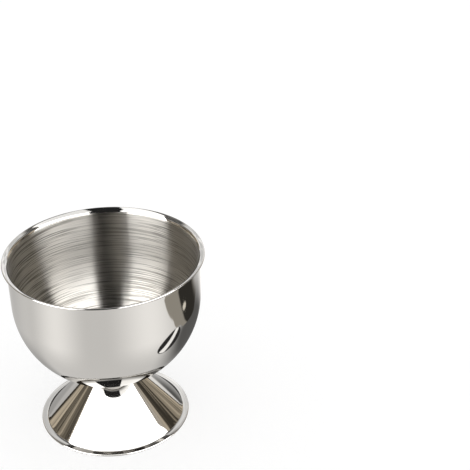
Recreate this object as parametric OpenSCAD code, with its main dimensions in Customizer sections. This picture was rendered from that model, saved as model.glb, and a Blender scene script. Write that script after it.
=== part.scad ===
/* [Overall] */
// Height of the cup from the table to the top of the lip
height = 47.7; // [44:0.1:54]
// Thickness of the steel sheet of both pieces
sheet = 0.5; // [0.4:0.05:0.7]

/* [Bowl] */
// Outer diameter of the half sphere of the bowl
bowl_d = 47.4; // [44:0.1:48.4]
// Diameter of the flat pressed into the bottom of the bowl
seat_d = 8.6; // [7:0.1:10]
// Angle at which the collar above the half sphere leans outwards
collar_lean = 1; // [0:0.25:2]

/* [Lip] */
// Outer diameter of the lip
lip_d = 50; // [49.4:0.1:53]
// Radius of the bend under the lip
lip_bend = 0.8; // [0.5:0.05:1]
// Angle of the lip above the horizontal
lip_rise = 25; // [20:1:35]

/* [Foot] */
// Height of the foot, up to the face that carries the bowl
foot_h = 13.4; // [11:0.1:15]
// Outer diameter of the ring that stands on the table
foot_d = 38.6; // [37:0.1:44]
// Width of the flat ring
ring_w = 1.2; // [0.9:0.05:1.6]
// Slope of the cone above the horizontal
cone_rise = 47; // [45:1:50]
// Radius of the bend between the ring and the cone
ring_bend = 0.6; // [0.3:0.05:1]
// Radius of the bend between the cone and the top plate
plate_bend = 0.8; // [0.4:0.05:1]

/* [Weld] */
// Diameter of the weld nugget
weld_d = 5; // [3:0.1:6]
// Depth to which the nugget reaches into each sheet
weld_depth = 0.3; // [0.1:0.05:0.35]

/* [Hidden] */
$fn = 128;
// Steps in which each small bend and rounded edge is drawn
bend_steps = 8;
bowl_r = bowl_d / 2;
// Height of the centre of the half sphere, set by the flat that seats on the foot
centre_z = foot_h + sqrt(bowl_r * bowl_r - seat_d * seat_d / 4);
// Unit vectors along and across the collar, and along and across the lip
collar_along = [sin(collar_lean), cos(collar_lean)];
collar_out = [cos(collar_lean), -sin(collar_lean)];
lip_along = [cos(lip_rise), sin(lip_rise)];
lip_out = [sin(lip_rise), -cos(lip_rise)];
// Radius of the middle of the sheet in the bend under the lip
lip_mid = lip_bend + sheet / 2;
// Start of the collar and end of the lip, along the middle of the sheet
collar_start = [bowl_r - sheet / 2, centre_z];
lip_edge_at = [lip_d / 2 - sheet / 2, height - sheet / 2];
// The collar and the straight lip cover what the bend leaves of the way between those two
way = lip_edge_at - collar_start - lip_mid * (collar_out - lip_out);
collar_l = cross(way, lip_along) / cross(collar_along, lip_along);
// Centre of the bend under the lip
lip_bend_at = collar_start + collar_l * collar_along + lip_mid * collar_out;
// Unit vectors up along the cone and out of it
cone_along = [-cos(cone_rise), sin(cone_rise)];
cone_out = [sin(cone_rise), cos(cone_rise)];
// Centre of the bend between the ring and the cone, above the sheet
ring_bend_at = [foot_d / 2 - ring_w, sheet + ring_bend];
// Middle of the rounded edge of the ring
ring_edge_at = [foot_d / 2 - sheet / 2, sheet / 2];
// Straight length of the cone between its two bends
cone_climb = foot_h - sheet - plate_bend - ring_bend_at[1];
cone_l = (cone_climb + (ring_bend + plate_bend + sheet) * cos(cone_rise)) / sin(cone_rise);
// Centre of the bend between the cone and the plate, below the sheet
plate_bend_at = ring_bend_at + cone_l * cone_along - (ring_bend + plate_bend + sheet) * cone_out;

// Points along an arc, from one angle to another
function arc(centre, radius, from, to) = [
    for (i = [0:bend_steps])
        let (angle = from + (to - from) * i / bend_steps)
            centre + radius * [cos(angle), sin(angle)]
];

// Half disc under the height of the centre, cut off at a flat
module half_sphere_section(radius, flat_z) {
    intersection() {
        translate([0, centre_z])
            circle(r = radius);
        translate([0, flat_z])
            square([bowl_r, centre_z - flat_z]);
    }
}

// Section of the collar, of the bend under the lip and of the lip with its round edge
module lip_section() {
    polygon(concat(
        [[bowl_r, centre_z]],
        arc(lip_bend_at, lip_bend, 180 - collar_lean, 90 + lip_rise),
        arc(lip_edge_at, sheet / 2, lip_rise - 90, lip_rise + 90),
        arc(lip_bend_at, lip_bend + sheet, 90 + lip_rise, 180 - collar_lean),
        [[bowl_r - sheet, centre_z]]
    ));
}

// Half of the bowl's section
module bowl_section() {
    difference() {
        half_sphere_section(bowl_r, foot_h);
        half_sphere_section(bowl_r - sheet, foot_h + sheet);
    }
    lip_section();
}

// Half of the foot's section: plate, cone and ring with its round edge, out above and back below
module foot_section() {
    polygon(concat(
        [[0, foot_h]],
        arc(plate_bend_at, plate_bend + sheet, 90, 90 - cone_rise),
        arc(ring_bend_at, ring_bend, 270 - cone_rise, 270),
        arc(ring_edge_at, sheet / 2, 90, -90),
        arc(ring_bend_at, ring_bend + sheet, 270, 270 - cone_rise),
        arc(plate_bend_at, plate_bend, 90 - cone_rise, 90),
        [[0, foot_h - sheet]]
    ));
}

// The round nugget, half in the foot's plate and half in the flat of the bowl
module nugget() {
    translate([0, 0, foot_h - weld_depth])
        cylinder(d = weld_d, h = 2 * weld_depth);
}

// Drawn steel bowl with its lip turned outwards
module bowl() {
    color([0.79, 0.78, 0.76])
        difference() {
            rotate_extrude()
                bowl_section();
            nugget();
        }
}

// Hollow steel foot, open below
module foot() {
    color([0.74, 0.73, 0.71])
        difference() {
            rotate_extrude()
                foot_section();
            nugget();
        }
}

// Fused metal that joins the two sheets
module spot_weld() {
    color([0.6, 0.59, 0.57])
        nugget();
}

bowl();
foot();
spot_weld();
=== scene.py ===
import math

import bmesh
import bpy
from mathutils import Matrix, Vector


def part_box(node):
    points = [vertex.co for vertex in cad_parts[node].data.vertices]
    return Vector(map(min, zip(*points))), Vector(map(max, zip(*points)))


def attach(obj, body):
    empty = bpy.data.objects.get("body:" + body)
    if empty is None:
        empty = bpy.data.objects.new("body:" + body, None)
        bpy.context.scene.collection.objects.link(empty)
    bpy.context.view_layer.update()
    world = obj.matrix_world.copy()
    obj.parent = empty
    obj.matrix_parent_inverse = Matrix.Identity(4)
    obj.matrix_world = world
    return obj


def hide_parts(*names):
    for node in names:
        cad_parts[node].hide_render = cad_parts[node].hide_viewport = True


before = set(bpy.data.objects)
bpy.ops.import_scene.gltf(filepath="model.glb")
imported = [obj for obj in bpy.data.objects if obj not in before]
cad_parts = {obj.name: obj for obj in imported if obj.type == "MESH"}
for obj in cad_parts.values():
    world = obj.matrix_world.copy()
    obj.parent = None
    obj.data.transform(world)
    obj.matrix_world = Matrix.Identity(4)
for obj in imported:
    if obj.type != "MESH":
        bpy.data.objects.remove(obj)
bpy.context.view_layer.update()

bl_info = {
    "name": "Steel Egg Cup",
    "version": (1, 0, 0),
    "blender": (4, 5, 0),
    "location": "View3D > Sidebar > Egg Cup",
    "description": "Drawn steel cup on a hollow cone foot, polished outside and brushed inside",
    "category": "Object",
}

BOWL_LOW, BOWL_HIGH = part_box("bowl")
FOOT_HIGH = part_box("foot")[1]
WELD_LOW, WELD_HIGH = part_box("spot_weld")

# Order of the finishes in the material slots of the bowl and of the foot
OUTSIDE, INSIDE = 0, 1

# Steps in which the round strokes of a section are drawn
SPHERE_STEPS = 40
BEND_STEPS = 10
EDGE_STEPS = 8
LIP_TOP_STEPS = 6
# Share of the bend on top of the lip that is still polished
POLISHED_SHARE = 0.6
# Corners nearer than the first are one corner, edges shorter than the second are dropped
MERGE_DISTANCE = 1e-6
SHORTEST_EDGE = 1e-7

# A fade is given by its start, its end and the results before and after it, which are 0 and 1
# where they are left out. A band is given by its two limits and the softness of its edges.

# Polish: waves of the drawn sheet
WAVE_SCALE = 90.0
WAVE_DETAIL = 1.0
WAVE_DEPTH = 0.00001
WAVE_STRENGTH = 0.5

# Drawn finish in the hollow of the foot: lines of the press and grain of the sheet
PRESS_LINE_ANGLE = 0.035
PRESS_LINE_RUN = 0.012
PRESS_LINE_DETAIL = 3.0
PRESS_LINE_SHADE = (0.3, 0.7, 0.0, 0.35)
SHEET_GRAIN_SCALE = 1800.0
SHEET_GRAIN_DETAIL = 2.0
SHEET_GRAIN_HEIGHT = 0.4
SHEET_ROUGHNESS = (0.3, 0.7, 0.24, 0.36)
SHEET_PIT_DEPTH = 0.00001

# Brushing inside the bowl: how worn, dark and deep the lines are, and the turn of their gloss
BRUSHING_DETAIL = 2.0
WORN_PATCH_SCALE = 110.0
WORN_PATCH_DETAIL = 1.0
WORN_PATCH_SHARE = (0.35, 0.6, 0.5, 1.0)
SCRATCH_EDGE = (0.5, 0.42)
SCRATCH_SHADE = 0.6
HAIR_SHADE = (0.3, 0.7, 0.0, 0.2)
SCRATCH_HEIGHT = 0.7
BRUSHING_LAY = (0.3, 0.7, 0.248, 0.252)

# Fused metal of the weld
WELD_GRAIN_SCALE = 2500.0
WELD_GRAIN_DETAIL = 3.0
WELD_ROUGHNESS = 0.45

# Nearest distance that the camera sees
CAMERA_CLIP = 0.01

# Floor: half its width, its paint and the light that lifts it to white for the camera
FLOOR_HALF_WIDTH = 3.0
FLOOR_PAINT = (0.8, 0.8, 0.8, 1.0)
FLOOR_PAINT_SEEN = (0.4, 0.4, 0.4, 1.0)
FLOOR_LIFT_SEEN = 0.62
# Floor in the metal: its glow at the first reflection, and its shares of that at the second
# and at later ones; the low share at later reflections is painted shade where the cup's
# surfaces face each other
FLOOR_GLOW = 0.72
FLOOR_TINT = (1.0, 0.985, 0.965, 1.0)
SECOND_SHARE = 1.3
LATER_SHARE = 0.2
# Pools of light round the cup: heading and spread, and what each adds to the glow. Headings
# are in degrees from the front, round to the right.
FLOOR_POOLS = (
    (-125.0, 35.0, -0.14),
    (-50.0, 36.0, 0.34),
    (50.0, 50.0, 0.37),
    (180.0, 50.0, 0.9),
    (-180.0, 50.0, 0.9),
)
POOLS_START = (0.02, 0.065)
# Shade under the bowl, to the back left, clear of the foot
BOWL_SHADE_HEADING = -130.0
BOWL_SHADE = (0.5, 0.9, 0.0, 0.3)
BOWL_SHADE_OUTER = (0.062, 0.025)
BOWL_SHADE_INNER = (0.0185, 0.0205)
# Round patch of shade to the right
RIGHT_SHADE_PLACE = (0.045, 0.022)
RIGHT_SHADE = (0.018, 0.044, 0.16, 1.0)
# Painted reflection of a dark form further to the right, shown only in the metal: its near
# edge bows away in front, and comes nearer in two steps towards the back
DARK_EDGE = 0.0732
DARK_EDGE_BOW = 28.0
DARK_EDGE_BOW_START = -0.014
DARK_EDGE_STEPS = ((-0.016, -0.008, 0.0, 0.0065), (-0.002, 0.004, 0.0, 0.006))
DARK_EDGE_SOFTNESS = (-0.0008, 0.0008)
DARK_BACK = (0.05, 0.034)
DARK_TINT = (1.0, 0.93, 0.8, 1.0)
# The painted reflection turns from brown to nearly black across a slanted line, and has one
# painted glint
BROWN_SLANT = 0.5
BROWN_GLOW = (0.0405, 0.044, 0.34, 0.035)
GLINT_PLACE = (0.0757, 0.0105)
GLINT_SIZE = (0.0024, 0.0055)
GLINT_GLOW = (1.0, 0.5, 0.0, 0.8)
# Painted reflection of a slanted dark oval in front of it, with a painted highlight as a bright
# stripe along it
OVAL_SLANT = -0.3
OVAL_PLACE = (0.0495, -0.027)
OVAL_SIZE = (0.017, 0.0105)
OVAL_EDGE = (1.0, 0.96)
OVAL_GLOW = (0.0, 1.0, 0.03, 1.15)
STRIPE_SIDES = (-0.0023, 0.0034, 0.0005)
STRIPE_ENDS = (0.97, 0.9)

# Lamps before the foot: watts for each square metre, and the place and size of each
LAMP_POWER = 7.2
FRONT_LAMP_PLACE = (0.0, -0.0275, 0.0205)
FRONT_LAMP_TILT = math.radians(42)
FRONT_LAMP_SIZE = (0.034, 0.017)
SIDE_LAMPS_PLACE = (0.027, -0.013, 0.016)
SIDE_LAMPS_FACING = (0.8, -0.15, 0.58)
SIDE_LAMP_SHIFT = (-0.00685, 0.0025, 0.0)
SIDE_LAMP_SIZE = (0.0143, 0.023)
CORNER_LAMP_SHIFT = (-0.0005, -0.0053, 0.0)
CORNER_LAMP_TURN = math.radians(-53.4)
CORNER_LAMP_SIZE = (0.010, 0.008)

# Counts of reflections: the first lies below this, the second in this band, later ones above
FIRST_REFLECTION = 1.5
SECOND_REFLECTION = (1.5, 2.5, 0.1)
LATER_REFLECTION = 2.5

# Studio that shines in the metal, by direction: x to the right, y to the back, z up
WHITE = (1.0, 1.0, 1.0, 1.0)
# Big soft box overhead and in front: its back edge, its low edge and its brightness
BOX_LEAN = -0.35
BOX_BACK = (0.13, 0.09)
BOX_STEP_SIDE = (0.1, 0.25, 0.0, 0.14)
BOX_STEP_HEIGHT = (0.55, 0.7)
BOX_LOW = (0.0, 0.08)
BOX_GLOW_FIRST = 3.8
BOX_GLOW_LATER = 1.4
BOX_DIM_LOW = (0.05, 0.25, 0.3, 1.0)
BOX_DIM_HIGH = (0.55, 0.9, 1.0, 0.25)
BOX_DIM_RIGHT = (-0.3, 0.1, 1.6, 1.15)
# Wings that cut the box off at the left and at the right
LEFT_WING_FACING = (-0.8, 0.6, 0.11)
LEFT_WING_EDGE = (0.645, 0.66)
RIGHT_WING_FACING = 0.707
RIGHT_WING_PLACE = (0.0, 0.62, 0.785, 0.575)
RIGHT_WING_EDGE = (-0.01, 0.01)
# Dark strip from front to back over the cup: width, drift to the side, edges and back end
STRIP_WIDTH = 0.149
STRIP_NARROWING = -0.17
STRIP_WIDER_LOW = (0.1, 0.6, 0.06, 0.0)
STRIP_WIDER_LATER = 1.45
STRIP_DRIFT_LOW = (0.1, 0.6, 0.0825, -0.0075)
STRIP_DRIFT_HIGH = (0.7, 0.95, 0.0, 0.0625)
STRIP_EDGE = (0.98, 1.02, 1.0, 0.0)
STRIP_BACK = (0.75, 0.65)
# Dark blind in front, under the box, which only the first reflection shows
BLIND_SIDES = (-0.42, 0.3, 0.03)
BLIND_TOP = (0.62, 0.7, 1.0, 0.0)
BLIND_BACK = (0.0, -0.2)
DARK_GLOW = 0.02
DARK_LOW_LATER = (0.06, 0.12)
# Bright bars at the back
BARS_DIP = (0.0, 0.2, 0.0, 0.05)
BARS_TOP = (0.72, 0.66)
BARS_FRONT = (0.4, 0.5)
BARS_SIDES = (-0.6, 0.5, 0.05)
BARS_GLOW = 0.65
# Dim brown room between them
ROOM_SCALE = 5.0
ROOM_DETAIL = 3.0
ROOM_DISTORTION = 1.2
ROOM_GLOW = (0.38, 0.68, 0.05, 0.65)
ROOM_DIM_HIGH = (0.5, 0.65, 1.0, 0.4)
ROOM_SHARE_LATER = 0.1
ROOM_TINT = (1.0, 0.86, 0.66, 1.0)
ROOM_WHITE_HIGH = (0.42, 0.6, 0.0, 0.85)


class EggCupSizes(bpy.types.PropertyGroup):
    """Sizes of the two drawn sheets that the frame's boxes don't give."""

    sheet: bpy.props.FloatProperty(
        name="Sheet",
        description="Thickness of the steel sheet",
        default=0.0005,
        unit="LENGTH",
    )
    bowl_radius: bpy.props.FloatProperty(
        name="Bowl Radius",
        description="Outer radius of the half sphere",
        default=0.0237,
        unit="LENGTH",
    )
    seat_radius: bpy.props.FloatProperty(
        name="Seat Radius",
        description="Radius of the flat under the bowl",
        default=0.0043,
        unit="LENGTH",
    )
    collar_lean: bpy.props.FloatProperty(
        name="Collar Lean",
        description="Angle at which the wall above the half sphere leans outwards",
        default=math.radians(1),
        subtype="ANGLE",
    )
    lip_bend: bpy.props.FloatProperty(
        name="Lip Bend",
        description="Radius of the bend under the lip",
        default=0.0008,
        unit="LENGTH",
    )
    lip_rise: bpy.props.FloatProperty(
        name="Lip Rise",
        description="Angle of the lip above the horizontal",
        default=math.radians(25),
        subtype="ANGLE",
    )
    ring_width: bpy.props.FloatProperty(
        name="Ring Width",
        description="Width of the flat ring that stands on the table",
        default=0.0012,
        unit="LENGTH",
    )
    cone_rise: bpy.props.FloatProperty(
        name="Cone Rise",
        description="Slope of the foot's cone above the horizontal",
        default=math.radians(47),
        subtype="ANGLE",
    )
    ring_bend: bpy.props.FloatProperty(
        name="Ring Bend",
        description="Radius of the bend between the ring and the cone",
        default=0.0006,
        unit="LENGTH",
    )
    plate_bend: bpy.props.FloatProperty(
        name="Plate Bend",
        description="Radius of the bend between the cone and the top plate",
        default=0.0008,
        unit="LENGTH",
    )


class EggCupSteel(bpy.types.PropertyGroup):
    """Colours and finish of the steel."""

    polish: bpy.props.FloatVectorProperty(
        name="Polished Steel",
        description="Reflected colour of the polished steel",
        default=(0.72, 0.705, 0.68),
        subtype="COLOR",
    )
    brushed: bpy.props.FloatVectorProperty(
        name="Brushed Steel",
        description="Reflected colour of the brushed inside",
        default=(0.87, 0.84, 0.79),
        subtype="COLOR",
    )
    scratched: bpy.props.FloatVectorProperty(
        name="Scratches",
        description="Reflected colour in the dark scratches of the brushing",
        default=(0.16, 0.145, 0.12),
        subtype="COLOR",
    )
    drawn: bpy.props.FloatVectorProperty(
        name="Drawn Steel",
        description="Darkest reflected colour of the drawn sheet and of the weld",
        default=(0.42, 0.4, 0.37),
        subtype="COLOR",
    )
    fused: bpy.props.FloatVectorProperty(
        name="Fused Steel",
        description="Brightest reflected colour of the weld",
        default=(0.6, 0.58, 0.55),
        subtype="COLOR",
    )
    polish_roughness: bpy.props.FloatProperty(
        name="Polish Roughness",
        description="Roughness of the polished outside",
        default=0.05,
        subtype="FACTOR",
    )
    brushed_roughness: bpy.props.FloatProperty(
        name="Brushed Roughness",
        description="Roughness of the brushed inside",
        default=0.3,
        subtype="FACTOR",
    )
    scratch_spacing: bpy.props.FloatProperty(
        name="Scratch Spacing",
        description="Distance between the plain scratches of the brushing",
        default=0.00028,
        unit="LENGTH",
    )
    scratch_run: bpy.props.FloatProperty(
        name="Scratch Run",
        description="Usual length of a plain scratch round the cup",
        default=0.018,
        unit="LENGTH",
    )
    hair_spacing: bpy.props.FloatProperty(
        name="Hair Line Spacing",
        description="Distance between the fine lines of the brushing",
        default=0.00016,
        unit="LENGTH",
    )
    hair_run: bpy.props.FloatProperty(
        name="Hair Line Run",
        description="Usual length of a fine line round the cup",
        default=0.01,
        unit="LENGTH",
    )
    press_line_start: bpy.props.FloatProperty(
        name="Press Line Start",
        description="Distance from the axis at which the lines of the press start inside the foot",
        default=0.0006,
        unit="LENGTH",
    )
    groove_depth: bpy.props.FloatProperty(
        name="Groove Depth",
        description="Depth of the brushed grooves",
        default=0.000008,
        unit="LENGTH",
    )


class EggCupStudio(bpy.types.PropertyGroup):
    """Camera of the stage."""

    camera_place: bpy.props.FloatVectorProperty(
        name="Camera Place",
        description="Where the camera stands, from the middle of the foot",
        default=(0.0325, -0.2668, 0.2035),
        subtype="TRANSLATION",
        unit="LENGTH",
    )
    camera_pitch: bpy.props.FloatProperty(
        name="Camera Pitch",
        description="Angle at which the camera looks down",
        default=math.radians(29.52),
        subtype="ANGLE",
    )
    camera_roll: bpy.props.FloatProperty(
        name="Camera Roll",
        description="Turn of the camera about its own view",
        default=math.radians(-1.19),
        subtype="ANGLE",
    )
    lens: bpy.props.FloatProperty(
        name="Lens",
        description="Focal length of the lens on a 36 mm sensor, in millimetres",
        default=96.13,
        unit="CAMERA",
    )


def nodes_of(owner):
    """Empties the node tree of a material, a lamp or the world and hands it back."""
    owner.use_nodes = True
    owner.node_tree.nodes.clear()
    return owner.node_tree


def add(tree, kind, inputs=None, **settings):
    """Adds a node with its settings; each input is a value or a socket to link."""
    made = tree.nodes.new(kind)
    for name, value in settings.items():
        setattr(made, name, value)
    for name, value in (inputs or {}).items():
        if isinstance(value, bpy.types.NodeSocket):
            tree.links.new(value, made.inputs[name])
        else:
            made.inputs[name].default_value = value
    return made


def work_out(tree, operation, *values):
    """One arithmetic step on numbers or sockets."""
    return add(tree, "ShaderNodeMath", dict(enumerate(values)), operation=operation).outputs[0]


def times(tree, *values):
    """Product of two or more numbers or sockets."""
    product = values[0]
    for value in values[1:]:
        product = work_out(tree, "MULTIPLY", product, value)
    return product


def choose_number(tree, test, when_one, when_nought):
    """One number where a test is 1 and another where it is 0."""
    return work_out(tree, "MULTIPLY_ADD", test, when_one - when_nought, when_nought)


def mixed(tree, share, low, high):
    """One number blended into another by a share from 0 to 1."""
    inputs = {"Factor": share, "A": low, "B": high}
    return add(tree, "ShaderNodeMix", inputs, data_type="FLOAT").outputs["Result"]


def mixed_colour(tree, share, low, high):
    """One colour blended into another by a share from 0 to 1."""
    inputs = {"Factor": share, "A": low, "B": high}
    return add(tree, "ShaderNodeMix", inputs, data_type="RGBA").outputs["Result"]


def noise(tree, place, scale, detail, distortion=0.0):
    """Soft random pattern of a scale."""
    inputs = {"Vector": place, "Scale": scale, "Detail": detail, "Distortion": distortion}
    return add(tree, "ShaderNodeTexNoise", inputs).outputs["Fac"]


def split(tree, place):
    """The x, y and z of a place or direction."""
    return add(tree, "ShaderNodeSeparateXYZ", {"Vector": place}).outputs[:]


def length_of(tree, x, y):
    """Length of a flat vector."""
    squares = [work_out(tree, "MULTIPLY", part, part) for part in (x, y)]
    return work_out(tree, "SQRT", work_out(tree, "ADD", *squares))


def fade(tree, value, start, end, low=0.0, high=1.0):
    """A smooth change from low to high while the value goes from start to end."""
    inputs = {"Value": value, "From Min": start, "From Max": end, "To Min": low, "To Max": high}
    made = add(tree, "ShaderNodeMapRange", inputs, interpolation_type="SMOOTHSTEP")
    return made.outputs["Result"]


def band(tree, value, low, high, soft):
    """1 between two limits and 0 outside, with soft edges."""
    rising = fade(tree, value, low - soft, low + soft)
    falling = fade(tree, value, high - soft, high + soft, 1.0, 0.0)
    return times(tree, rising, falling)


class Pen:
    """Draws the section of a sheet in the XZ plane and spins each stretch of it round Z."""

    ROUND_STEPS = 192
    PART_LENGTH = 0.001

    def __init__(self, mesh, x, z):
        self.mesh = mesh
        self.tip = mesh.verts.new((x, 0.0, z))

    def line(self, x, z):
        """A straight stroke to a point, in parts short enough for true shading."""
        start = self.tip.co.copy()
        end = Vector((x, 0.0, z))
        steps = max(1, math.ceil((end - start).length / self.PART_LENGTH))
        for step in range(1, steps + 1):
            drawn = bmesh.ops.extrude_vert_indiv(self.mesh, verts=[self.tip])
            self.tip = drawn["verts"][0]
            self.tip.co = start.lerp(end, step / steps)

    def turn(self, centre, angle, steps):
        """A round stroke about a centre; a positive angle runs clockwise."""
        drawn = bmesh.ops.spin(
            self.mesh,
            geom=[self.tip],
            cent=(centre[0], 0.0, centre[1]),
            axis=(0.0, 1.0, 0.0),
            angle=angle,
            steps=steps,
            use_merge=False,
        )
        self.tip = next(part for part in drawn["geom_last"] if isinstance(part, bmesh.types.BMVert))

    def spin(self, finish):
        """Spins what was drawn since the last spin round Z, and gives the new faces a finish."""
        old_faces = set(self.mesh.faces)
        wire = [edge for edge in self.mesh.edges if not edge.link_faces]
        corners = {corner for edge in wire for corner in edge.verts}
        tip = self.tip.co.copy()
        bmesh.ops.spin(
            self.mesh,
            geom=[*corners, *wire],
            cent=(0.0, 0.0, 0.0),
            axis=(0.0, 0.0, 1.0),
            angle=math.tau,
            steps=self.ROUND_STEPS,
            use_merge=True,
        )
        for face in self.mesh.faces:
            if face not in old_faces:
                face.material_index = finish
        self.tip = self.mesh.verts.new(tip)


def new_object(name, mesh, materials):
    """Makes an object of a finished mesh and frees it."""
    data = bpy.data.meshes.new(name)
    mesh.to_mesh(data)
    mesh.free()
    for material in materials:
        data.materials.append(material)
    made = bpy.data.objects.new(name, data)
    bpy.context.scene.collection.objects.link(made)
    return made


def finished_piece(name, mesh, materials):
    """Closes the seams of a spun mesh, turns its faces outwards and makes it an object."""
    bmesh.ops.remove_doubles(mesh, verts=mesh.verts, dist=MERGE_DISTANCE)
    bmesh.ops.dissolve_degenerate(mesh, dist=SHORTEST_EDGE, edges=mesh.edges)
    bmesh.ops.recalc_face_normals(mesh, faces=mesh.faces)
    for face in mesh.faces:
        face.smooth = True
    return new_object(name, mesh, materials)


def surface(tree, inputs):
    """A metal surface with its output."""
    shader = add(tree, "ShaderNodeBsdfPrincipled", {"Metallic": 1.0, **inputs})
    add(tree, "ShaderNodeOutputMaterial", {"Surface": shader.outputs["BSDF"]})


def relief(tree, height, depth, strength=1.0):
    """Unevenness of a surface, as its normal."""
    inputs = {"Height": height, "Distance": depth, "Strength": strength}
    return add(tree, "ShaderNodeBump", inputs).outputs["Normal"]


def drawn_out(tree, x, y, z):
    """A place stretched along some of its axes, for patterns with a run."""
    return add(tree, "ShaderNodeCombineXYZ", {"X": x, "Y": y, "Z": z}).outputs["Vector"]


def polished_steel(name, look):
    """Mirror polish with the faint waves of the drawn sheet."""
    material = bpy.data.materials.new(name)
    tree = nodes_of(material)
    place = add(tree, "ShaderNodeTexCoord").outputs["Object"]
    waves = noise(tree, place, WAVE_SCALE, WAVE_DETAIL)
    surface(tree, {
        "Base Color": (*look.polish, 1.0),
        "Roughness": look.polish_roughness,
        "Normal": relief(tree, waves, WAVE_DEPTH, WAVE_STRENGTH),
    })
    return material


def drawn_steel(name, look):
    """Plain sheet as the press leaves it: dull, with faint lines along the draw."""
    material = bpy.data.materials.new(name)
    tree = nodes_of(material)
    place = add(tree, "ShaderNodeTexCoord").outputs["Object"]
    x, y, z = split(tree, place)
    reach = work_out(tree, "MAXIMUM", length_of(tree, x, y), look.press_line_start)
    line_width = times(tree, reach, PRESS_LINE_ANGLE)
    lines = noise(tree, drawn_out(
        tree,
        work_out(tree, "DIVIDE", x, line_width),
        work_out(tree, "DIVIDE", y, line_width),
        work_out(tree, "DIVIDE", z, PRESS_LINE_RUN),
    ), 1.0, PRESS_LINE_DETAIL)
    grain = noise(tree, place, SHEET_GRAIN_SCALE, SHEET_GRAIN_DETAIL)
    darker = fade(tree, lines, *PRESS_LINE_SHADE)
    height = work_out(tree, "MULTIPLY_ADD", grain, SHEET_GRAIN_HEIGHT, lines)
    surface(tree, {
        "Base Color": mixed_colour(tree, darker, (*look.polish, 1.0), (*look.drawn, 1.0)),
        "Roughness": fade(tree, grain, *SHEET_ROUGHNESS),
        "Normal": relief(tree, height, SHEET_PIT_DEPTH),
    })
    return material


def brushed_steel(name, look, centre_z, radius):
    """Brushing in circles round the axis, as a spinning cup takes it from emery cloth."""
    material = bpy.data.materials.new(name)
    tree = nodes_of(material)
    place = add(tree, "ShaderNodeTexCoord").outputs["Object"]
    x, y, z = split(tree, place)
    depth = work_out(tree, "SUBTRACT", centre_z, z)
    down_wall = times(tree, work_out(tree, "ARCTAN2", depth, length_of(tree, x, y)), radius)

    def rings(spacing, run):
        """Noise drawn out along the circles: lines of a spacing and of a usual run."""
        return noise(tree, drawn_out(
            tree,
            work_out(tree, "DIVIDE", x, run),
            work_out(tree, "DIVIDE", y, run),
            work_out(tree, "DIVIDE", down_wall, spacing),
        ), 1.0, BRUSHING_DETAIL)

    scratches = rings(look.scratch_spacing, look.scratch_run)
    hairs = rings(look.hair_spacing, look.hair_run)
    patches = noise(tree, place, WORN_PATCH_SCALE, WORN_PATCH_DETAIL)
    dark_lines = times(
        tree,
        fade(tree, scratches, *SCRATCH_EDGE),
        fade(tree, patches, *WORN_PATCH_SHARE),
        SCRATCH_SHADE,
    )
    darker = work_out(tree, "ADD", dark_lines, fade(tree, hairs, *HAIR_SHADE))
    height = work_out(tree, "MULTIPLY_ADD", scratches, SCRATCH_HEIGHT, hairs)
    tangent = add(tree, "ShaderNodeTangent", direction_type="RADIAL", axis="Z")
    surface(tree, {
        "Base Color": mixed_colour(tree, darker, (*look.brushed, 1.0), (*look.scratched, 1.0)),
        "Roughness": look.brushed_roughness,
        "Anisotropic": 1.0,
        "Anisotropic Rotation": fade(tree, scratches, *BRUSHING_LAY),
        "Tangent": tangent.outputs["Tangent"],
        "Normal": relief(tree, height, look.groove_depth),
    })
    return material


def weld_metal(name, look):
    """Grainy metal that was fused and has set again."""
    material = bpy.data.materials.new(name)
    tree = nodes_of(material)
    place = add(tree, "ShaderNodeTexCoord").outputs["Object"]
    grain = noise(tree, place, WELD_GRAIN_SCALE, WELD_GRAIN_DETAIL)
    surface(tree, {
        "Base Color": mixed_colour(tree, grain, (*look.drawn, 1.0), (*look.fused, 1.0)),
        "Roughness": WELD_ROUGHNESS,
    })
    return material


def slope(lean):
    """Unit vectors up along a wall and out of it, where the wall leans outwards by an angle."""
    return Vector((math.sin(lean), math.cos(lean))), Vector((math.cos(lean), -math.sin(lean)))


def lip_plan(sizes, centre_z):
    """Middle of the bend under the lip and of the lip's round edge, in the section."""
    sheet = sizes.sheet
    collar_along, collar_out = slope(sizes.collar_lean)
    lip_along, lip_out = slope(math.pi / 2 - sizes.lip_rise)
    half = Vector((sheet / 2, sheet / 2))
    collar_start = Vector((sizes.bowl_radius - sheet / 2, centre_z))
    lip_end = Vector((BOWL_HIGH.x, BOWL_HIGH.z)) - half
    lip_middle = sizes.lip_bend + sheet / 2
    way = lip_end - collar_start - lip_middle * (collar_out - lip_out)
    collar_length = way.cross(lip_along) / collar_along.cross(lip_along)
    bend_at = collar_start + collar_length * collar_along + lip_middle * collar_out
    return bend_at, lip_end


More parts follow.
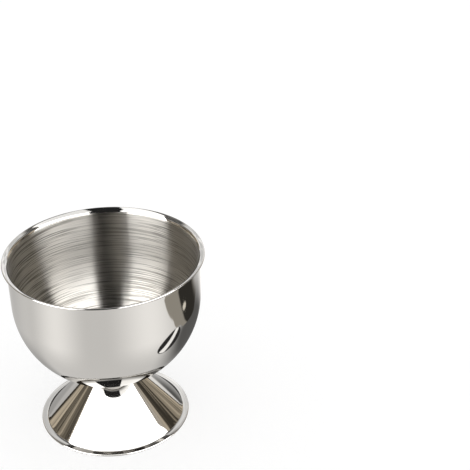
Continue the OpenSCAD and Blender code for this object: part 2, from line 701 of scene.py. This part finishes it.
def draw_bowl(sizes, centre_z):
    """Spins the bowl's section: polished outside and lip, then the inside that is brushed."""
    sheet = sizes.sheet
    radius = sizes.bowl_radius
    seat = sizes.seat_radius
    low = BOWL_LOW.z
    weld_radius, weld_top = WELD_HIGH.x, WELD_HIGH.z
    collar_out = slope(sizes.collar_lean)[1]
    lip_out = slope(math.pi / 2 - sizes.lip_rise)[1]
    bend_at, lip_end = lip_plan(sizes, centre_z)
    bend = math.pi / 2 - sizes.collar_lean - sizes.lip_rise

    mesh = bmesh.new()
    pen = Pen(mesh, 0.0, weld_top)
    pen.line(weld_radius, weld_top)
    pen.line(weld_radius, low)
    pen.line(seat, low)
    pen.turn((0.0, centre_z), math.asin(seat / radius) - math.pi / 2, SPHERE_STEPS)
    collar_end = bend_at - sizes.lip_bend * collar_out
    pen.line(collar_end.x, collar_end.y)
    pen.turn(bend_at, bend, BEND_STEPS)
    under_lip = lip_end + lip_out * sheet / 2
    pen.line(under_lip.x, under_lip.y)
    pen.turn(lip_end, -math.pi, EDGE_STEPS)
    bend_top = bend_at - (sizes.lip_bend + sheet) * lip_out
    pen.line(bend_top.x, bend_top.y)
    pen.turn(bend_at, -bend * POLISHED_SHARE, LIP_TOP_STEPS)
    pen.spin(OUTSIDE)

    pen.turn(bend_at, -bend * (1 - POLISHED_SHARE), LIP_TOP_STEPS)
    inner = radius - sheet
    pen.line(inner, centre_z)
    inner_seat_angle = math.acos((centre_z - low - sheet) / inner)
    pen.turn((0.0, centre_z), math.pi / 2 - inner_seat_angle, SPHERE_STEPS)
    pen.line(0.0, low + sheet)
    pen.spin(INSIDE)
    return mesh


def draw_foot(sizes):
    """Spins the foot's section: polished plate, cone and ring, then the hollow under them."""
    sheet = sizes.sheet
    edge, top = FOOT_HIGH.x, FOOT_HIGH.z
    weld_radius, weld_low = WELD_HIGH.x, WELD_LOW.z
    rise = sizes.cone_rise
    cone_along, cone_out = slope(rise - math.pi / 2)
    ring_bend_at = Vector((edge - sizes.ring_width, sheet + sizes.ring_bend))
    ring_end = Vector((edge - sheet / 2, sheet / 2))
    climb = top - sheet - sizes.plate_bend - ring_bend_at.y
    bends = sizes.ring_bend + sizes.plate_bend + sheet
    cone_length = (climb + bends * math.cos(rise)) / math.sin(rise)
    plate_bend_at = ring_bend_at + cone_length * cone_along - bends * cone_out

    mesh = bmesh.new()
    pen = Pen(mesh, 0.0, weld_low)
    pen.line(weld_radius, weld_low)
    pen.line(weld_radius, top)
    pen.line(plate_bend_at.x, top)
    pen.turn(plate_bend_at, rise, BEND_STEPS)
    cone_end = ring_bend_at - sizes.ring_bend * cone_out
    pen.line(cone_end.x, cone_end.y)
    pen.turn(ring_bend_at, -rise, BEND_STEPS)
    pen.line(ring_end.x, sheet)
    pen.turn(ring_end, math.pi, EDGE_STEPS)
    pen.spin(OUTSIDE)

    pen.line(ring_bend_at.x, 0.0)
    pen.turn(ring_bend_at, rise, BEND_STEPS)
    inner_end = plate_bend_at + sizes.plate_bend * cone_out
    pen.line(inner_end.x, inner_end.y)
    pen.turn(plate_bend_at, -rise, BEND_STEPS)
    pen.line(0.0, top - sheet)
    pen.spin(INSIDE)
    return mesh


class EGGCUP_OT_bowl(bpy.types.Operator):
    """Make the drawn bowl with its turned lip"""

    bl_idname = "eggcup.make_bowl"
    bl_label = "Make Bowl"

    def execute(self, context):
        sizes = context.scene.egg_cup_sizes
        look = context.scene.egg_cup_steel
        radius = sizes.bowl_radius
        centre_z = BOWL_LOW.z + math.sqrt(radius * radius - sizes.seat_radius * sizes.seat_radius)
        finishes = [
            polished_steel("bowl_polish", look),
            brushed_steel("bowl_brushing", look, centre_z, radius - sizes.sheet),
        ]
        piece = finished_piece("bowl_shell", draw_bowl(sizes, centre_z), finishes)
        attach(piece, "root")
        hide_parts("bowl")
        return {"FINISHED"}


class EGGCUP_OT_foot(bpy.types.Operator):
    """Make the hollow cone foot with its standing ring"""

    bl_idname = "eggcup.make_foot"
    bl_label = "Make Foot"

    def execute(self, context):
        look = context.scene.egg_cup_steel
        finishes = [
            polished_steel("foot_polish", look),
            drawn_steel("foot_inside", look),
        ]
        piece = finished_piece("foot_shell", draw_foot(context.scene.egg_cup_sizes), finishes)
        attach(piece, "root")
        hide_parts("foot")
        return {"FINISHED"}


class EGGCUP_OT_weld(bpy.types.Operator):
    """Give the weld nugget its metal"""

    bl_idname = "eggcup.finish_weld"
    bl_label = "Finish Weld"

    def execute(self, context):
        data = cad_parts["spot_weld"].data
        data.materials.clear()
        data.materials.append(weld_metal("weld_metal", context.scene.egg_cup_steel))
        return {"FINISHED"}


class EGGCUP_OT_stage(bpy.types.Operator):
    """Set the camera, the pale floor and the studio light"""

    bl_idname = "eggcup.set_stage"
    bl_label = "Set Stage"

    def execute(self, context):
        make_camera(context.scene.egg_cup_studio)
        make_floor()
        make_studio_light()
        make_foot_lamps()
        context.scene.view_settings.view_transform = "Standard"
        return {"FINISHED"}


def make_camera(studio):
    """Camera at the height, tilt and lens of the picture."""
    data = bpy.data.cameras.new("camera")
    data.lens = studio.lens
    data.clip_start = CAMERA_CLIP
    camera = bpy.data.objects.new("camera", data)
    bpy.context.scene.collection.objects.link(camera)
    tilt = Matrix.Rotation(math.pi / 2 - studio.camera_pitch, 4, "X")
    roll = Matrix.Rotation(studio.camera_roll, 4, "Z")
    camera.matrix_world = Matrix.Translation(studio.camera_place) @ tilt @ roll
    bpy.context.scene.camera = camera


def pools_of_light(tree, x, y):
    """Glow of the floor in the metal: pools round the cup, and shade under the bowl and beside."""
    heading = work_out(tree, "ARCTAN2", x, times(tree, y, -1.0))
    reach = length_of(tree, x, y)
    pools = 0.0
    for centre, spread, brighter in FLOOR_POOLS:
        away = work_out(tree, "ABSOLUTE", work_out(tree, "SUBTRACT", heading, math.radians(centre)))
        pool = fade(tree, away, 0.0, math.radians(spread), brighter, 0.0)
        pools = work_out(tree, "ADD", pools, pool)
    glow = work_out(tree, "MULTIPLY_ADD", pools, fade(tree, reach, *POOLS_START), FLOOR_GLOW)
    off_heading = work_out(tree, "SUBTRACT", heading, math.radians(BOWL_SHADE_HEADING))
    bowl_shade = times(
        tree,
        fade(tree, work_out(tree, "COSINE", off_heading), *BOWL_SHADE),
        fade(tree, reach, *BOWL_SHADE_OUTER),
        fade(tree, reach, *BOWL_SHADE_INNER),
    )
    glow = work_out(tree, "SUBTRACT", glow, bowl_shade)
    from_patch = length_of(
        tree,
        work_out(tree, "SUBTRACT", x, RIGHT_SHADE_PLACE[0]),
        work_out(tree, "SUBTRACT", y, RIGHT_SHADE_PLACE[1]),
    )
    return times(tree, glow, fade(tree, from_patch, *RIGHT_SHADE))


def oval_distance(tree, x, y, place, size):
    """Distance from the middle of an oval, 1 at its edge."""
    return length_of(
        tree,
        work_out(tree, "DIVIDE", work_out(tree, "SUBTRACT", x, place[0]), size[0]),
        work_out(tree, "DIVIDE", work_out(tree, "SUBTRACT", y, place[1]), size[1]),
    )


def painted_dark_reflection(tree, x, y):
    """Painted reflection of a dark form to the right of the cup, with a painted glint: where it
    lies, and its glow.
    """
    bow = work_out(tree, "MINIMUM", work_out(tree, "SUBTRACT", y, DARK_EDGE_BOW_START), 0.0)
    edge = work_out(tree, "MULTIPLY_ADD", times(tree, bow, bow), DARK_EDGE_BOW, DARK_EDGE)
    for step in DARK_EDGE_STEPS:
        edge = work_out(tree, "SUBTRACT", edge, fade(tree, y, *step))
    inward = fade(tree, work_out(tree, "SUBTRACT", x, edge), *DARK_EDGE_SOFTNESS)
    share = times(tree, inward, fade(tree, y, *DARK_BACK))
    glow = fade(tree, work_out(tree, "MULTIPLY_ADD", x, BROWN_SLANT, y), *BROWN_GLOW)
    glint = oval_distance(tree, x, y, GLINT_PLACE, GLINT_SIZE)
    return share, work_out(tree, "ADD", glow, fade(tree, glint, *GLINT_GLOW))


def painted_oval_reflection(tree, x, y):
    """Painted reflection of a dark oval with a painted highlight as a bright stripe, before the
    dark form: where it lies, and its glow.
    """
    across = work_out(tree, "MULTIPLY_ADD", x, OVAL_SLANT, y)
    oval = oval_distance(tree, x, across, OVAL_PLACE, OVAL_SIZE)
    off_middle = work_out(tree, "SUBTRACT", across, OVAL_PLACE[1])
    stripe = times(tree, band(tree, off_middle, *STRIPE_SIDES), fade(tree, oval, *STRIPE_ENDS))
    return fade(tree, oval, *OVAL_EDGE), fade(tree, stripe, *OVAL_GLOW)


def floor_shine(tree, x, y, rays):
    """What the metal shows of the floor: its pools of light and shade, and painted reflections of
    dark forms to the right.
    """
    # Painted reflections of a dark form and of a striped oval, laid over the pools of light
    dark_share, dark_glow = painted_dark_reflection(tree, x, y)
    oval_share, oval_glow = painted_oval_reflection(tree, x, y)
    glow = mixed(tree, dark_share, pools_of_light(tree, x, y), dark_glow)
    glow = mixed(tree, oval_share, glow, oval_glow)
    later = work_out(tree, "GREATER_THAN", rays["Glossy Depth"], LATER_REFLECTION)
    second = band(tree, rays["Glossy Depth"], *SECOND_REFLECTION)
    glow = times(
        tree,
        glow,
        choose_number(tree, later, LATER_SHARE, 1.0),
        choose_number(tree, second, SECOND_SHARE, 1.0),
    )
    tint = mixed_colour(tree, dark_share, FLOOR_TINT, DARK_TINT)
    return add(tree, "ShaderNodeEmission", {"Color": tint, "Strength": glow}).outputs[0]


def choose_surface(tree, test, when_one, when_nought):
    """One surface where a test is 1 and another where it is 0."""
    return add(tree, "ShaderNodeMixShader", {0: test, 1: when_nought, 2: when_one}).outputs[0]


def floor_paint():
    """Pale paint that the camera sees white, with its own glow and painted reflections in the
    metal, clear from below.
    """
    material = bpy.data.materials.new("floor_paint")
    tree = nodes_of(material)
    place = add(tree, "ShaderNodeTexCoord").outputs["Object"]
    x, y, _ = split(tree, place)
    rays = add(tree, "ShaderNodeLightPath").outputs
    paint = add(tree, "ShaderNodeBsdfDiffuse", {"Color": FLOOR_PAINT}).outputs[0]
    paint_seen = add(tree, "ShaderNodeBsdfDiffuse", {"Color": FLOOR_PAINT_SEEN}).outputs[0]
    lift = add(tree, "ShaderNodeEmission", {"Strength": FLOOR_LIFT_SEEN}).outputs[0]
    seen = add(tree, "ShaderNodeAddShader", {0: paint_seen, 1: lift}).outputs[0]
    shown = choose_surface(tree, rays["Is Camera Ray"], seen, paint)
    shown = choose_surface(tree, rays["Is Glossy Ray"], floor_shine(tree, x, y, rays), shown)
    below = add(tree, "ShaderNodeNewGeometry").outputs["Backfacing"]
    clear = add(tree, "ShaderNodeBsdfTransparent").outputs[0]
    shown = choose_surface(tree, below, clear, shown)
    add(tree, "ShaderNodeOutputMaterial", {"Surface": shown})
    return material


def make_floor():
    """Pale floor that takes the shadow of the cup."""
    mesh = bmesh.new()
    bmesh.ops.create_grid(mesh, x_segments=1, y_segments=1, size=FLOOR_HALF_WIDTH)
    new_object("floor", mesh, [floor_paint()])


def foot_lamp(name, place, size, lit):
    """Flat lamp that only the first reflection in the lit pieces shows."""
    data = bpy.data.lights.new(name, "AREA")
    data.shape = "RECTANGLE"
    data.size, data.size_y = size
    data.energy = LAMP_POWER * size[0] * size[1]
    tree = nodes_of(data)
    depth = add(tree, "ShaderNodeLightPath").outputs["Glossy Depth"]
    first = work_out(tree, "LESS_THAN", depth, FIRST_REFLECTION)
    glow = add(tree, "ShaderNodeEmission", {"Strength": first}).outputs[0]
    add(tree, "ShaderNodeOutputLight", {"Surface": glow})
    lamp = bpy.data.objects.new(name, data)
    bpy.context.scene.collection.objects.link(lamp)
    lamp.matrix_world = place
    lamp.visible_camera = False
    lamp.visible_diffuse = False
    lamp.light_linking.receiver_collection = lit


def make_foot_lamps():
    """Lamps before the foot: the white that its polish shows at the front and to the right."""
    lit = bpy.data.collections.new("lit_by_foot_lamps")
    lit.objects.link(bpy.data.objects["foot_shell"])
    front = Matrix.Translation(FRONT_LAMP_PLACE) @ Matrix.Rotation(FRONT_LAMP_TILT, 4, "X")
    outward = Vector(SIDE_LAMPS_FACING).normalized()
    across = Vector((0.0, 0.0, 1.0)).cross(outward).normalized()
    upward = outward.cross(across)
    beside = Matrix((across, upward, outward)).transposed().to_4x4()
    beside.translation = SIDE_LAMPS_PLACE
    side = beside @ Matrix.Translation(SIDE_LAMP_SHIFT)
    corner_turn = Matrix.Rotation(CORNER_LAMP_TURN, 4, "Z")
    corner = beside @ Matrix.Translation(CORNER_LAMP_SHIFT) @ corner_turn
    foot_lamp("front_lamp", front, FRONT_LAMP_SIZE, lit)
    foot_lamp("side_lamp", side, SIDE_LAMP_SIZE, lit)
    foot_lamp("corner_lamp", corner, CORNER_LAMP_SIZE, lit)


def dark_strip(tree, x, y, z, first):
    """Dark strip from front to back over the cup; later reflections show it wider."""
    width = work_out(tree, "MULTIPLY_ADD", y, STRIP_NARROWING, STRIP_WIDTH)
    width = work_out(tree, "ADD", width, fade(tree, z, *STRIP_WIDER_LOW))
    width = times(tree, width, choose_number(tree, first, 1.0, STRIP_WIDER_LATER))
    drift = fade(tree, z, *STRIP_DRIFT_LOW)
    drift = work_out(tree, "ADD", drift, fade(tree, z, *STRIP_DRIFT_HIGH))
    offset = work_out(tree, "ABSOLUTE", work_out(tree, "ADD", x, drift))
    strip = fade(tree, work_out(tree, "DIVIDE", offset, width), *STRIP_EDGE)
    return times(tree, strip, fade(tree, y, *STRIP_BACK))


def dark_blind(tree, x, y, z, first):
    """Dark blind in front, low over the floor, for the first reflection."""
    return times(
        tree,
        band(tree, x, *BLIND_SIDES),
        fade(tree, z, *BLIND_TOP),
        fade(tree, y, *BLIND_BACK),
        first,
    )


def soft_box(tree, x, y, z, first):
    """Big soft box overhead and in front, between its wings: where it is, and its glow."""
    step = times(tree, fade(tree, x, *BOX_STEP_SIDE), fade(tree, z, *BOX_STEP_HEIGHT))
    back = work_out(tree, "SUBTRACT", work_out(tree, "MULTIPLY_ADD", z, BOX_LEAN, y), step)
    left = times(tree, x, LEFT_WING_FACING[0])
    left = work_out(tree, "MULTIPLY_ADD", y, LEFT_WING_FACING[1], left)
    left = work_out(tree, "MULTIPLY_ADD", z, LEFT_WING_FACING[2], left)
    right = times(tree, work_out(tree, "ADD", x, y), RIGHT_WING_FACING)
    right = work_out(tree, "SUBTRACT", right, fade(tree, z, *RIGHT_WING_PLACE))
    wings = work_out(
        tree,
        "MAXIMUM",
        fade(tree, left, *LEFT_WING_EDGE),
        fade(tree, right, *RIGHT_WING_EDGE),
    )
    share = times(
        tree,
        fade(tree, back, *BOX_BACK),
        fade(tree, z, *BOX_LOW),
        work_out(tree, "SUBTRACT", 1.0, wings),
    )
    glow = times(
        tree,
        choose_number(tree, first, BOX_GLOW_FIRST, BOX_GLOW_LATER),
        fade(tree, z, *BOX_DIM_LOW),
        fade(tree, z, *BOX_DIM_HIGH),
        fade(tree, x, *BOX_DIM_RIGHT),
    )
    return share, glow


def back_bars(tree, x, y, z):
    """Bright bars at the back, with a dip to the right."""
    top = work_out(tree, "SUBTRACT", z, fade(tree, x, *BARS_DIP))
    return times(
        tree,
        fade(tree, top, *BARS_TOP),
        fade(tree, y, *BARS_FRONT),
        band(tree, x, *BARS_SIDES),
    )


def dim_room(tree, toward, z):
    """Glow of the dim and uneven room between the lights."""
    clutter = noise(tree, toward, ROOM_SCALE, ROOM_DETAIL, ROOM_DISTORTION)
    return times(tree, fade(tree, clutter, *ROOM_GLOW), fade(tree, z, *ROOM_DIM_HIGH))


def make_studio_light():
    """White world; what shines in the metal is a studio of soft boxes with dark gaps."""
    world = bpy.data.worlds.new("studio")
    bpy.context.scene.world = world
    tree = nodes_of(world)
    rays = add(tree, "ShaderNodeLightPath").outputs
    toward = add(tree, "ShaderNodeTexCoord").outputs["Generated"]
    x, y, z = split(tree, toward)
    first = work_out(tree, "LESS_THAN", rays["Glossy Depth"], FIRST_REFLECTION)

    bars = back_bars(tree, x, y, z)
    box_share, box_glow = soft_box(tree, x, y, z, first)
    glow = work_out(tree, "MULTIPLY_ADD", bars, BARS_GLOW, dim_room(tree, toward, z))
    glow = times(tree, glow, choose_number(tree, first, 1.0, ROOM_SHARE_LATER))
    glow = mixed(tree, box_share, glow, box_glow)

    dark = work_out(
        tree,
        "MAXIMUM",
        dark_strip(tree, x, y, z, first),
        dark_blind(tree, x, y, z, first),
    )
    dark = times(tree, dark, work_out(tree, "MAXIMUM", first, fade(tree, z, *DARK_LOW_LATER)))
    glow = mixed(tree, dark, glow, DARK_GLOW)

    white = work_out(tree, "MAXIMUM", box_share, bars)
    white = work_out(tree, "MAXIMUM", white, fade(tree, z, *ROOM_WHITE_HIGH))
    tint = mixed_colour(tree, white, ROOM_TINT, WHITE)
    inputs = {
        "Color": mixed_colour(tree, rays["Is Glossy Ray"], WHITE, tint),
        "Strength": mixed(tree, rays["Is Glossy Ray"], 1.0, glow),
    }
    light = add(tree, "ShaderNodeBackground", inputs)
    add(tree, "ShaderNodeOutputWorld", {"Surface": light.outputs["Background"]})


class EGGCUP_PT_panel(bpy.types.Panel):
    """Sizes, colours and steps of the egg cup"""

    bl_idname = "EGGCUP_PT_panel"
    bl_label = "Egg Cup"
    bl_space_type = "VIEW_3D"
    bl_region_type = "UI"
    bl_category = "Egg Cup"

    def draw(self, context):
        scene = context.scene
        for group in (scene.egg_cup_sizes, scene.egg_cup_steel, scene.egg_cup_studio):
            box = self.layout.box()
            for name in group.__annotations__:
                box.prop(group, name)
        for step in STEPS:
            self.layout.operator(step.bl_idname)


GROUPS = {
    "egg_cup_sizes": EggCupSizes,
    "egg_cup_steel": EggCupSteel,
    "egg_cup_studio": EggCupStudio,
}
STEPS = (EGGCUP_OT_bowl, EGGCUP_OT_foot, EGGCUP_OT_weld, EGGCUP_OT_stage)
CLASSES = (*GROUPS.values(), *STEPS, EGGCUP_PT_panel)


def register():
    for cls in CLASSES:
        bpy.utils.register_class(cls)
    for name, group in GROUPS.items():
        setattr(bpy.types.Scene, name, bpy.props.PointerProperty(type=group))


def unregister():
    for name in GROUPS:
        delattr(bpy.types.Scene, name)
    for cls in reversed(CLASSES):
        bpy.utils.unregister_class(cls)


def main():
    register()
    bpy.ops.eggcup.make_bowl()
    bpy.ops.eggcup.make_foot()
    bpy.ops.eggcup.finish_weld()
    bpy.ops.eggcup.set_stage()


if __name__ == "__main__":
    main()
